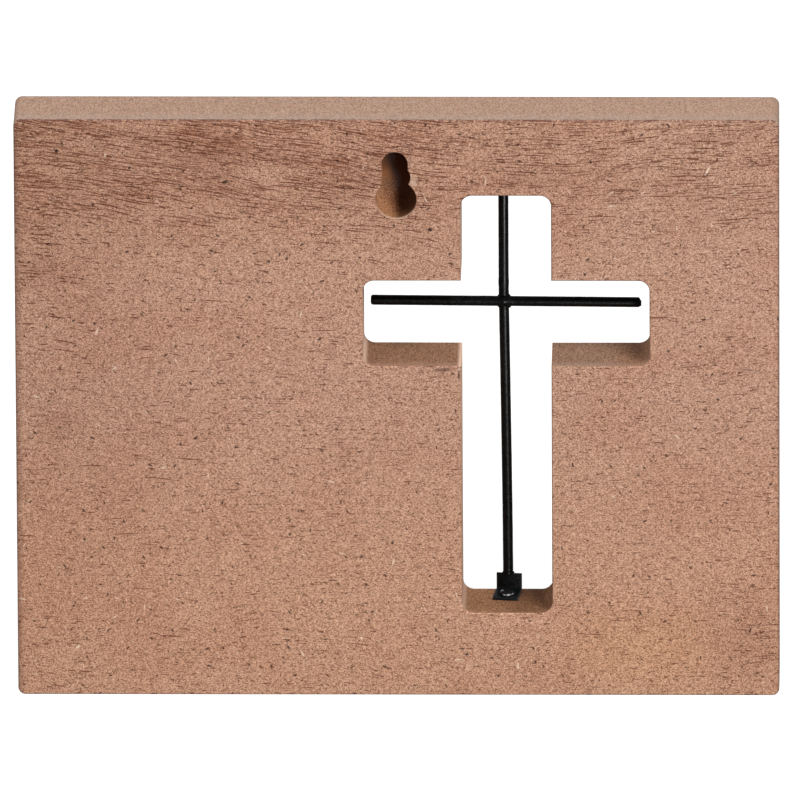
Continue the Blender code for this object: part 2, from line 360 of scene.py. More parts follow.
def build_board(material):
    """The slab with its round corners, window, keyhole and pilot hole, and eased edges."""
    low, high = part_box("board")
    board = box("plaque_board", low, high)
    pick(board, "EDGE", lambda edge: along(edge, 1))
    bpy.ops.mesh.bevel(offset=CORNER_R, segments=14, affect="EDGES")
    close()
    for seam_x in (WINDOW_X, KEY_SLOT_X):
        pick(board, "FACE", lambda face: True)
        bpy.ops.mesh.bisect(plane_co=(seam_x, 0, 0), plane_no=(1, 0, 0))
        close()

    back = high.y
    floor_y = back - KEY_DEPTH
    lip_y = back - KEY_LIP
    combine(board, window_cutter(low.y - CUT_PAST, back + CUT_PAST))
    entry = slot_cutter("entry_cut", KEY_X, KEY_Z, KEY_Z, KEY_ENTRY_R, floor_y, back + CUT_PAST)
    pick(entry, "EDGE", lambda edge: all(abs(vert.co.y - floor_y) < SAME for vert in edge.verts))
    bpy.ops.mesh.bevel(offset=KEY_FLOOR_R, segments=8, affect="EDGES")
    close()
    combine(board, entry)
    combine(board, slot_cutter("slot_cut", KEY_SLOT_X, KEY_Z, KEY_SLOT_TOP, KEY_SLOT_R,
                               lip_y - CHANNEL_OVERLAP, back + CUT_PAST))
    combine(board, slot_cutter("slip_cut", KEY_SLIP_X, KEY_SLIP_Z, KEY_SLIP_Z, KEY_SLOT_R,
                               lip_y - CHANNEL_OVERLAP, back + CUT_PAST))
    combine(board, slot_cutter("channel_cut", KEY_SLOT_X, CHANNEL_LOW_Z, KEY_SLOT_TOP, KEY_CHANNEL_R,
                               floor_y + CHANNEL_OVERLAP, lip_y))
    clear_pick()
    turn = Matrix.Rotation(BRACKET_TWIST, 4, "Z")
    hole = Vector((BRACKET_X, WIRE_Y, 0)) + turn @ Vector((0, SCREW_REACH, 0))
    middle_z = WINDOW_FOOT_Z + PILOT_RISE - PILOT_DEPTH / 2
    bpy.ops.mesh.primitive_cylinder_add(vertices=32, radius=SCREW_HOLE_R, depth=PILOT_DEPTH,
                                        location=(hole.x, hole.y, middle_z))
    combine(board, settle("pilot_cut"))

    pick(board, "VERT", lambda vert: True)
    bpy.ops.mesh.remove_doubles(threshold=SAME)
    close()
    ease(board, back, True, KEYHOLE_EASE, 2)
    ease(board, back, False, BACK_EASE, 4)
    ease(board, low.y, False, FRONT_EASE, 4)
    smooth(board, 40)
    modify(board, "WEIGHTED_NORMAL", mode="FACE_AREA", weight=50, keep_sharp=True)
    return dress(board, material, "board", "board")


# Wire cross

def upright_x(z):
    """The upright leans to +X up to just above the crossbar, and then runs straight up."""
    share = (z - UPRIGHT_FOOT_Z) / (LEAN_TOP_Z - UPRIGHT_FOOT_Z)
    share = min(1.0, max(0.0, share))
    return BRACKET_X + UPRIGHT_OFF_MIDDLE + UPRIGHT_LEAN * share ** LEAN_CURVE


def draw_wire(name, points, swells=()):
    """A round wire drawn out ring by ring along its centre points, its ends eased.

    A swell is (distance along the wire, extra share of the radius) for a lump in the paint.
    """
    clear_pick()
    way = (points[-1] - points[0]).normalized()
    turn = way.to_track_quat("Z", "Y").to_euler()
    bpy.ops.mesh.primitive_circle_add(vertices=WIRE_SIDES, radius=WIRE_R, fill_type="NGON",
                                      location=points[0], rotation=turn)
    wire = settle(name)
    bpy.ops.object.mode_set(mode="EDIT")
    bpy.ops.mesh.select_all(action="SELECT")
    for before, after in zip(points, points[1:]):
        bpy.ops.mesh.extrude_region_move(TRANSFORM_OT_translate={"value": after - before})
    close()
    for distance, share in swells:
        spot = points[0] + way * distance
        nearest = min(points, key=lambda point: (point - spot).length)
        pick(wire, "VERT", lambda vert: abs((vert.co - nearest).dot(way)) < NEAR)
        bpy.ops.transform.resize(value=(1 + share,) * 3, center_override=nearest)
        close()
    pick(wire, "FACE", lambda face: len(face.verts) > 4)
    bpy.ops.mesh.normals_make_consistent(inside=False)
    bpy.ops.mesh.bevel(offset=END_EASE, segments=4, affect="EDGES")
    close()
    pick(wire, "VERT", lambda vert: True)
    bpy.ops.mesh.normals_make_consistent(inside=False)
    close()
    return wire


def build_upright(material):
    """The upright wire."""
    steps = round((UPRIGHT_TOP_Z - UPRIGHT_FOOT_Z) / WIRE_STEP)
    points = []
    for step in range(steps + 1):
        z = UPRIGHT_FOOT_Z + (UPRIGHT_TOP_Z - UPRIGHT_FOOT_Z) * step / steps
        points.append(Vector((upright_x(z), WIRE_Y, z)))
    wire = draw_wire("upright_wire", points, (PAINT_LUMP,))
    ripple(wire, *WIRE_RIPPLE)
    smooth(wire, 50)
    return dress(wire, material, "black_wire", "upright_rod")


def bar_z(x):
    """The crossbar's height: it rises a little towards +X."""
    return BAR_Z + (x - WINDOW_X) * math.tan(BAR_TILT)


def build_crossbar(material):
    """The crossbar, which lies behind the upright, its low end dented by the shears."""
    steps = round((BAR_HIGH_X - BAR_LOW_X) / WIRE_STEP)
    points = []
    for step in range(steps + 1):
        x = BAR_LOW_X + (BAR_HIGH_X - BAR_LOW_X) * step / steps
        points.append(Vector((x, BAR_Y, bar_z(x))))
    wire = draw_wire("crossbar_wire", points)
    end_x = BAR_LOW_X + END_EASE
    middle_z = bar_z(BAR_LOW_X)
    for side, start, depth in BAR_END_DENTS:
        pick(wire, "VERT", lambda vert: vert.co.x < end_x and side * (vert.co.z - middle_z) > start)
        move_picked(x=depth)
        close()
    ripple(wire, *WIRE_RIPPLE)
    smooth(wire, 50)
    return dress(wire, material, "black_wire", "crossbar_rod")


def ball(name, place, size):
    """A ball drawn out to three half sizes."""
    clear_pick()
    bpy.ops.mesh.primitive_uv_sphere_add(segments=24, ring_count=14, radius=1, location=place, scale=size)
    return settle(name)


def stub(name, middle, way, radius, length):
    """A short piece of wire for a weld to flow onto."""
    clear_pick()
    turn = Vector(way).to_track_quat("Z", "Y").to_euler()
    bpy.ops.mesh.primitive_cylinder_add(vertices=32, radius=radius, depth=length,
                                        location=middle, rotation=turn)
    return settle(name)


def melt(name, pieces):
    """Run shapes together into one smooth bead."""
    bpy.ops.object.select_all(action="DESELECT")
    for piece in pieces:
        piece.select_set(True)
    bpy.context.view_layer.objects.active = pieces[0]
    bpy.ops.object.join()
    bead = bpy.context.object
    bead.name = name
    bead.data.name = name
    modify(bead, "REMESH", mode="VOXEL", voxel_size=MELT_VOXEL, adaptivity=0.0)
    modify(bead, "SMOOTH", factor=0.5, iterations=MELT_ROUNDS)
    return bead


def build_crossing_weld(material):
    """The tack weld: a lump over the crossing and a bead in each of its four corners."""
    x = upright_x(BAR_Z)
    z = bar_z(x)
    bar_way = (1, 0, math.tan(BAR_TILT))
    shapes = [
        stub("weld_stub_a", (x, WIRE_Y, z), (0, 0, 1), STUB_R, WELD_STUB_LENGTH),
        stub("weld_stub_b", (x, BAR_Y, z), bar_way, STUB_R, WELD_STUB_LENGTH),
        ball("weld_ball", (x, WELD_BALL_Y, z), (WELD_BALL_R, WELD_BALL_R, WELD_BALL_R)),
    ]
    for side_x, side_z, size in CORNER_BEADS:
        centre = (x + side_x * BEAD_APART, BEAD_Y, z + side_z * BEAD_APART - BEAD_SAG)
        shapes.append(ball("weld_bead", centre, (size, BEAD_HALF_DEPTH, size)))
    weld = melt("crossing_weld", shapes)
    ripple(weld, *WELD_RIPPLE)
    only(weld)
    bpy.ops.object.shade_smooth()
    return dress(weld, material, "black_wire")


# Foot

def set_foot(piece):
    """Put a shape that was made at the bracket's own origin in its place."""
    only(piece)
    spot = Matrix.Translation((BRACKET_X, WIRE_Y, WINDOW_FOOT_Z))
    piece.matrix_world = spot @ Matrix.Rotation(BRACKET_TWIST, 4, "Z")
    bpy.ops.object.transform_apply(location=True, rotation=True, scale=True)


def build_strip(material):
    """The folded strip: a flat flange, one edge spun round the fold and drawn up as the plate."""
    clear_pick()
    half = STRIP_THICK / 2
    middle_r = STRIP_BEND_R + half
    fold_y = middle_r
    length = FLANGE_REACH - fold_y
    mid_z = STRIP_LIFT + half
    bpy.ops.mesh.primitive_plane_add(size=1, location=(0, fold_y + length / 2, mid_z))
    strip = settle("foot_strip", (STRIP_WIDTH, length, 1))
    pick(strip, "EDGE", lambda edge: all(abs(vert.co.y - fold_y) < SAME for vert in edge.verts))
    bpy.ops.mesh.spin(steps=8, angle=math.radians(90), center=(0, fold_y, mid_z + middle_r), axis=(1, 0, 0))
    close()
    pick(strip, "VERT", lambda vert: True)
    bpy.ops.mesh.remove_doubles(threshold=SAME)
    close()
    far = min(vert.co.y for vert in strip.data.vertices)
    pick(strip, "EDGE", lambda edge: all(vert.co.y < far + SAME for vert in edge.verts))
    rise = PLATE_TOP - (mid_z + middle_r)
    bpy.ops.mesh.extrude_region_move(TRANSFORM_OT_translate={"value": (0, 0, rise)})
    close()
    modify(strip, "SOLIDIFY", thickness=STRIP_THICK, offset=0.0, use_even_offset=True)
    clear_pick()
    bpy.ops.mesh.primitive_cylinder_add(vertices=32, radius=SCREW_HOLE_R, depth=STRIP_HOLE_CUT,
                                        location=(0, SCREW_REACH, 0))
    combine(strip, settle("strip_hole_cut"))
    modify(strip, "BEVEL", width=STRIP_EDGE_EASE, segments=3, limit_method="ANGLE",
           angle_limit=math.radians(50))
    set_foot(strip)
    smooth(strip, 40)
    return dress(strip, material, "black_wire", "foot_bracket")


def build_foot_weld(material):
    """The small bead where the upright stands on the plate."""
    foot = Vector((upright_x(UPRIGHT_FOOT_Z), WIRE_Y, UPRIGHT_FOOT_Z))
    middle = foot + Vector((0, 0, FOOT_STUB_RISE))
    shapes = [stub("foot_stub", middle, (0, 0, 1), STUB_R, FOOT_STUB_LENGTH)]
    for side, size in FOOT_BEADS:
        spot = foot + Vector((side * FOOT_BEAD_APART, 0, FOOT_BEAD_RISE))
        shapes.append(ball("foot_bead", spot, (size, FOOT_BEAD_HALF_DEPTH, size)))
    bead = melt("foot_weld", shapes)
    ripple(bead, *FOOT_WELD_RIPPLE)
    only(bead)
    bpy.ops.object.shade_smooth()
    return dress(bead, material, "black_wire")


def build_screw(material):
    """Pan-head screw: a domed head with a cross recess, and a plain pointed shank."""
    under = STRIP_LIFT + STRIP_THICK
    clear_pick()
    bpy.ops.mesh.primitive_cylinder_add(vertices=48, radius=SCREW_HEAD_R, depth=SCREW_HEAD_RIM,
                                        location=(0, SCREW_REACH, under + SCREW_HEAD_RIM / 2))
    screw = settle("pan_screw")
    centre = Vector((0, SCREW_REACH, under + SCREW_HEAD_RIM))
    pick(screw, "FACE", lambda face: face.normal.z > 0.9)
    dome = SCREW_HEAD_HEIGHT - SCREW_HEAD_RIM
    rings = 7
    before = 0.0
    for ring in range(1, rings + 1):
        angle = SCREW_DOME_SWEEP * ring / rings
        step = math.sin(angle) * dome - math.sin(before) * dome
        shrink = math.cos(angle) / math.cos(before)
        bpy.ops.mesh.extrude_region_move(TRANSFORM_OT_translate={"value": (0, 0, step)})
        bpy.ops.transform.resize(value=(shrink, shrink, 1), center_override=centre)
        before = angle
    close()
    pick(screw, "FACE", lambda face: face.normal.z < -0.9)
    bpy.ops.mesh.inset(thickness=SCREW_HEAD_R - SCREW_CORE_R)
    for length in (SCREW_LENGTH - SCREW_TIP_START, SCREW_TIP_LENGTH):
        bpy.ops.mesh.extrude_region_move(TRANSFORM_OT_translate={"value": (0, 0, -length)})
    bpy.ops.transform.resize(value=(SCREW_TIP_SHARE, SCREW_TIP_SHARE, 1), center_override=centre)
    close()
    top = under + SCREW_HEAD_HEIGHT
    for turn in (0, 90):
        clear_pick()
        angle = math.radians(turn + RECESS_TURN)
        bpy.ops.mesh.primitive_cube_add(size=1, location=(0, SCREW_REACH, top),
                                        rotation=(0, 0, angle),
                                        scale=(RECESS_SPAN, RECESS_SLOT, 2 * RECESS_DEPTH))
        cutter = settle("recess_cut")
        pick(cutter, "FACE", lambda face: face.normal.z < -0.9)
        bpy.ops.transform.resize(value=(RECESS_TAPER, RECESS_TAPER, 1), center_override=(0, SCREW_REACH, top))
        close()
        combine(screw, cutter)
    modify(screw, "BEVEL", width=SCREW_EDGE_EASE, segments=2, limit_method="ANGLE",
           angle_limit=math.radians(45))
    set_foot(screw)
    smooth(screw, 35)
    return dress(screw, material, "screw", "foot_screw")


# Materials

class Mixer:
    """Lays out the nodes of one material; each call gives back the output to use next."""

    def __init__(self, name):
        self.material = bpy.data.materials.new(name)
        self.material.use_nodes = True
        self.tree = self.material.node_tree
        self.shader = self.tree.nodes["Principled BSDF"]
        self.column = 0

    def add(self, kind, inputs=None, **settings):
        node = self.tree.nodes.new("ShaderNode" + kind)
        node.location = (-200 * (self.column % 12) - 300, -220 * (self.column // 12))
        self.column += 1
        for key, value in settings.items():
            setattr(node, key, value)
        for key, value in (inputs or {}).items():
            self.feed(node.inputs[key], value)
        return node

    def feed(self, socket, value):
        """Join an output to a socket, or set the socket's number or colour."""
        if isinstance(value, bpy.types.NodeSocket):
            self.tree.links.new(value, socket)
        elif socket.type == "RGBA" and len(value) == 3:
            socket.default_value = (*value, 1.0)
        else:
            socket.default_value = value

    def finish(self, inputs):
        """Put the outputs, numbers and colours on the shader, and give back the material."""
        for key, value in inputs.items():
            self.feed(self.shader.inputs[key], value)
        return self.material

    def place(self):
        """Object coordinates in millimetres."""
        coords = self.add("TexCoord").outputs["Object"]
        return self.scaled(coords, (1000, 1000, 1000))

    def scaled(self, vector, factors):
        return self.add("VectorMath", {0: vector, 1: factors}, operation="MULTIPLY").outputs[0]

    def axes(self, vector):
        return self.add("SeparateXYZ", {0: vector}).outputs

    def joined(self, x, y, z):
        return self.add("CombineXYZ", {0: x, 1: y, 2: z}).outputs[0]

    def crumbs(self, where, size):
        """A random number for each crumb of about this size, the same all over the crumb."""
        cells = self.add("TexVoronoi", {"Vector": where, "Scale": 1 / size}, feature="F1").outputs["Color"]
        return self.add("SeparateColor", {0: cells}).outputs[0]

    def maths(self, operation, *values):
        inputs = {index: value for index, value in enumerate(values)}
        return self.add("Math", inputs, operation=operation).outputs[0]

    def times(self, first, second):
        return self.maths("MULTIPLY", first, second)

    def plus(self, first, second):
        return self.maths("ADD", first, second)

    def minus(self, first, second):
        return self.maths("SUBTRACT", first, second)

    def most(self, first, second):
        return self.maths("MAXIMUM", first, second)

    def gap(self, first, second):
        """How far apart two numbers are."""
        return self.maths("ABSOLUTE", self.minus(first, second))

    def noise(self, where, scale, detail=2.0, roughness=0.5):
        inputs = {"Vector": where, "Scale": scale, "Detail": detail, "Roughness": roughness}
        return self.add("TexNoise", inputs).outputs["Fac"]

    def ramp(self, value, low, high, start=0.0, end=1.0):
        """A smooth step from one number to another as the value goes from low to high."""
        inputs = {"Value": value, "From Min": low, "From Max": high, "To Min": start, "To Max": end}
        return self.add("MapRange", inputs, interpolation_type="SMOOTHSTEP").outputs["Result"]

    def blend(self, share, under, over, way="MIX"):
        node = self.add("Mix", data_type="RGBA", blend_type=way)
        for key, value in ((0, share), (6, under), (7, over)):
            self.feed(node.inputs[key], value)
        return node.outputs[2]

    def blot(self, where, x, z, half_x, half_z, turn=0.0, soft=0.5):
        """1 inside an ellipse in the plane of the back, fading to 0 over its soft rim."""
        inputs = {"Vector": where, "Location": (x, 0, z), "Rotation": (0, math.radians(turn), 0),
                  "Scale": (half_x, 100, half_z)}
        inside = self.add("Mapping", inputs, vector_type="TEXTURE").outputs[0]
        reach = self.add("VectorMath", {0: inside}, operation="LENGTH").outputs["Value"]
        return self.ramp(reach, 1 - soft, 1 + soft, 1, 0)

    def strokes(self, where, cell, half_length, half_width, keep, spread=math.tau):
        """Short strokes strewn over a plane, one to a cell: how dark each place is, 0 to 1.

        keep is the share of the cells that have a stroke; spread is how far they turn about.
        """
        inputs = {"Vector": where, "Scale": 1 / cell}
        strewn = self.add("TexVoronoi", inputs, voronoi_dimensions="2D", feature="F1").outputs
        chance = self.add("SeparateColor", {0: strewn["Color"]}).outputs
        away = self.add("VectorMath", {0: where, 1: strewn["Position"]}, operation="SUBTRACT").outputs[0]
        angle = self.times(self.minus(chance[0], 0.5), spread)
        inputs = {"Vector": away, "Angle": angle}
        turned = self.add("VectorRotate", inputs, rotation_type="Z_AXIS").outputs[0]
        shaped = self.scaled(turned, (1 / half_length, 1 / half_width, 0))
        reach = self.add("VectorMath", {0: shaped}, operation="LENGTH").outputs["Value"]
        reach = self.times(reach, self.plus(chance[2], 0.6))
        kept = self.maths("LESS_THAN", chance[1], keep)
        return self.times(self.ramp(reach, 0.4, 1.2, 1, 0), kept)


def srgb(red, green, blue):
    """A colour as a painter reads it off a screen, 0 to 255, made linear."""
    linear = []
    for value in (red, green, blue):
        share = value / 255
        linear.append(share / 12.92 if share <= 0.04045 else ((share + 0.055) / 1.055) ** 2.4)
    return tuple(linear)


# Where the lanes of pores bend, and how softly (mm)
LANE_BEND_X = -33.5
LANE_BEND_R = 25.0

# Colours of the marks
BARK = srgb(50, 31, 28)
PALE = srgb(236, 210, 190)
RUST = (0.50, 0.32, 0.25)
PENCIL = srgb(112, 92, 92)
TOP_EDGE_DARK = srgb(102, 71, 65)

# Pencilled loop by the keyhole (mm): middle, outer and inner half sizes
LOOP_SPOT = (-2.6, 152.2)
LOOP_OUTSIDE = (1.35, 4.3)
LOOP_INSIDE = (1.05, 4.0)

# Marks on the back: x, z, half width, half height (mm), turn, softness, share, colour
MARKS = (
    (54.4, 154.1, 5.0, 5.5, 10, 0.9, 0.30, RUST),
    (46.0, 148.9, 4.5, 8.0, 0, 0.9, 0.30, RUST),
    (30.0, 152.0, 12.0, 2.0, -4, 0.9, 0.25, RUST),
    (12.0, 144.0, 5.0, 5.0, 0, 0.9, 0.25, RUST),
    (94.0, 120.0, 7.0, 3.5, -6, 0.9, 0.25, RUST),
    (89.7, 77.8, 5.0, 3.0, 0, 0.9, 0.22, RUST),
    (-82.0, 157.8, 9.0, 1.3, 4, 0.9, 0.30, RUST),
    (-38.0, 146.0, 14.0, 2.2, 2, 0.9, 0.22, RUST),
    (-92.6, 15.7, 9.0, 12.0, 0, 0.9, 0.20, RUST),
    (90.2, 154.0, 0.50, 0.48, 0, 0.4, 0.95, BARK),
    (45.5, 145.4, 0.75, 0.42, 20, 0.4, 0.90, BARK),
    (70.9, 149.3, 0.38, 0.38, 0, 0.4, 0.85, BARK),
    (80.6, 138.9, 0.45, 0.40, 30, 0.5, 0.85, BARK),
    (71.7, 125.6, 0.48, 0.32, 10, 0.5, 0.80, BARK),
    (7.5, 153.4, 0.36, 0.36, 0, 0.4, 0.90, BARK),
    (15.7, 151.4, 0.60, 0.24, -35, 0.5, 0.80, BARK),
    (-8.9, 132.0, 0.60, 0.50, 20, 0.4, 0.95, BARK),
    (9.8, 124.1, 0.42, 0.30, 0, 0.5, 0.80, BARK),
    (34.0, 122.9, 0.42, 0.40, 0, 0.5, 0.85, BARK),
    (80.4, 105.3, 0.40, 0.40, 0, 0.4, 0.85, BARK),
    (-80.7, 99.1, 0.50, 0.32, 0, 0.5, 0.90, BARK),
    (-72.2, 97.7, 0.40, 0.34, 0, 0.5, 0.85, BARK),
    (-50.8, 123.6, 0.62, 0.34, 35, 0.5, 0.85, BARK),
    (-50.0, 119.4, 0.42, 0.42, 0, 0.5, 0.85, BARK),
    (-12.4, 92.4, 1.90, 0.50, 3, 0.9, 0.60, BARK),
    (-16.4, 90.8, 0.28, 1.10, 0, 0.5, 0.75, BARK),
    (-82.7, 148.7, 0.24, 1.25, -28, 0.5, 0.85, PALE),
    (79.9, 103.0, 0.22, 0.90, -20, 0.5, 0.80, PALE),
    (77.3, 152.9, 0.22, 0.60, 0, 0.5, 0.75, PALE),
    (62.4, 64.6, 0.80, 0.22, 20, 0.5, 0.70, PALE),
    (96.0, 84.6, 0.80, 0.24, -15, 0.5, 0.70, PALE),
    (85.6, 13.6, 0.70, 0.28, 35, 0.5, 0.80, PALE),
    (9.9, 16.3, 0.38, 0.34, 0, 0.5, 0.85, PALE),
    (-4.3, 145.6, 1.00, 1.30, 20, 0.8, 0.30, PALE),
    (-93.5, 92.4, 3.40, 0.22, -5, 0.6, 0.55, PENCIL),
)


def top_edge_line(mix, place):
    """The rough, broken dark line along the back's top edge."""
    y, z = mix.axes(place)[1:]
    rough = mix.ramp(mix.noise(place, 1.3, 2.0, 0.6), 0.42, 0.60, 0, 0.75)
    along_top = mix.times(mix.ramp(z, 162.2, 162.5), mix.ramp(y, 8.8, 9.1))
    return mix.times(along_top, rough)


def raw_back(mix, place, grain):
    """The unsanded back: fine grain, flecks, and dark pores in lanes that bend across the board."""
    x, y, z = mix.axes(place)
    flat = mix.joined(x, z, 0.0)
    tone = mix.blend(mix.ramp(grain, 0.16, 0.84), srgb(150, 108, 85), srgb(215, 171, 146))
    clouds = mix.ramp(mix.noise(place, 0.05, 2.0, 0.5), 0.40, 0.70)
    tone = mix.blend(mix.times(clouds, 0.12), tone, srgb(214, 150, 120), "MULTIPLY")

    # Lanes: nearly level in the lower part; near the top they rise to both sides of the bend, more to +X
    from_bend = mix.minus(x, LANE_BEND_X)
    round_bend = mix.maths("SQRT", mix.plus(mix.times(from_bend, from_bend), LANE_BEND_R ** 2))
    slope = mix.ramp(from_bend, -6, 6, 0.06, 0.15)
    curve = mix.times(mix.minus(round_bend, LANE_BEND_R), slope)
    curve = mix.times(curve, mix.ramp(z, 90, 140, 0.3, 1))
    wander = mix.times(mix.noise(place, 0.04, 1.0, 0.5), 4.0)
    lane = mix.plus(mix.minus(z, curve), wander)
    group_place = mix.joined(mix.times(x, 0.035), 3.0, mix.times(lane, 0.22))
    group = mix.noise(group_place, 1.0, 2.0, 0.5)
    high = mix.ramp(z, 122, 150)
    density = mix.times(high, mix.ramp(x, -25, 15, 0.5, 1.0))
    left_edge = mix.times(mix.ramp(x, 68, 96, 0, 0.40), mix.ramp(z, 96, 122, 0.15, 1))
    right_edge = mix.times(mix.ramp(x, -72, -96), mix.ramp(z, 60, 30, 0.1, 0.28))
    edge = mix.most(left_edge, right_edge)
    groups = mix.ramp(group, 0.36, 0.58, 0.2, 1)
    short_density = mix.most(mix.most(density, edge), 0.07)
    short_density = mix.times(short_density, groups)
    density = mix.most(density, mix.times(edge, 0.35))
    density = mix.times(mix.most(density, 0.02), groups)
    band_place = mix.joined(mix.times(x, 0.08), 7.0, mix.times(lane, 1.35))
    band = mix.ramp(mix.noise(band_place, 1.0, 3.0, 0.7), 0.46, 0.64)
    tone = mix.blend(mix.times(band, density), tone, (0.74, 0.61, 0.52), "MULTIPLY")
    long_place = mix.joined(mix.times(x, 0.15), mix.times(lane, 1.1), 0.0)
    pores = mix.strokes(long_place, 1.0, 0.66, 0.15, mix.times(density, 1.2), 0.10)
    tone = mix.blend(mix.times(pores, 0.90), tone, srgb(104, 54, 33))
    short_place = mix.joined(mix.times(x, 0.55), mix.times(lane, 1.5), 0.0)
    dash_share = mix.plus(mix.times(short_density, 0.75), 0.05)
    dashes = mix.strokes(short_place, 1.0, 0.70, 0.18, dash_share, 0.3)
    tone = mix.blend(mix.times(dashes, 0.90), tone, srgb(94, 48, 30))

    # Flecks and specks of bark, and pale slivers
    dust = mix.strokes(flat, 0.52, 0.22, 0.10, 0.34, 2.2)
    tone = mix.blend(mix.times(dust, 0.85), tone, srgb(96, 54, 34))
    flecks = mix.strokes(mix.joined(x, mix.plus(z, 31.0), 0.0), 1.25, 0.39, 0.16, 0.16, 1.8)
    tone = mix.blend(mix.times(flecks, 0.80), tone, srgb(78, 42, 28))
    chips = mix.strokes(flat, 2.6, 0.50, 0.20, 0.18, 3.0)
    tone = mix.blend(mix.times(chips, 0.90), tone, srgb(64, 36, 28))
    specks = mix.strokes(mix.joined(z, x, 0.0), 9.5, 0.40, 0.28, 0.22)
    tone = mix.blend(mix.times(specks, 0.85), tone, BARK)
    slivers = mix.strokes(mix.joined(z, x, 0.0), 8.3, 0.75, 0.17, 0.16)
    tone = mix.blend(mix.times(slivers, 0.7), tone, PALE)
    glints = mix.strokes(flat, 1.9, 0.30, 0.15, 0.30)
    tone = mix.blend(mix.times(glints, 0.45), tone, PALE)

    for mark_x, mark_z, half_x, half_z, turn, soft, share, colour in MARKS:
        inside = mix.blot(place, mark_x, mark_z, half_x, half_z, turn, soft)
        way = "MULTIPLY" if colour == RUST else "MIX"
        tone = mix.blend(mix.times(inside, share), tone, colour, way)
    outside = mix.blot(place, *LOOP_SPOT, *LOOP_OUTSIDE, 0, 0.12)
    loop = mix.minus(outside, mix.blot(place, *LOOP_SPOT, *LOOP_INSIDE, 0, 0.12))
    tone = mix.blend(mix.times(loop, 0.5), tone, PENCIL)

    # Darker borders at the sides, and slow changes of tone across the back
    side_border = mix.most(mix.ramp(x, 99.4, 101.6, 0, 0.45), mix.ramp(x, -100.9, -101.6, 0, 0.5))
    tone = mix.blend(side_border, tone, srgb(92, 60, 50))
    tone = mix.blend(mix.ramp(z, 90, 20, 0, 1), tone, (1.06, 1.03, 0.97), "MULTIPLY")
    duller = mix.times(mix.ramp(x, 40, 85), mix.ramp(z, 20, 85, 0.4, 1))
    tone = mix.blend(duller, tone, (0.92, 0.905, 0.895), "MULTIPLY")
    paler = mix.times(mix.ramp(x, -45, -75), mix.ramp(z, 105, 140))
    tone = mix.blend(paler, tone, (1.03, 1.07, 1.09), "MULTIPLY")
    tone = mix.blend(mix.ramp(z, 115, 135), tone, (0.955, 0.940, 0.925), "MULTIPLY")
    yellow = mix.blot(place, -65.0, 13.0, 18.0, 11.0, 0, 0.9)
    tone = mix.blend(yellow, tone, (1.03, 1.01, 0.93), "MULTIPLY")
    # Painted shade: the eased edge round the back darkened and greyed.
    tone = mix.blend(mix.ramp(y, 9.50, 9.35), tone, (0.72, 0.70, 0.70), "MULTIPLY")
    tone = mix.blend(top_edge_line(mix, place), tone, TOP_EDGE_DARK)
    return tone, mix.most(pores, chips)


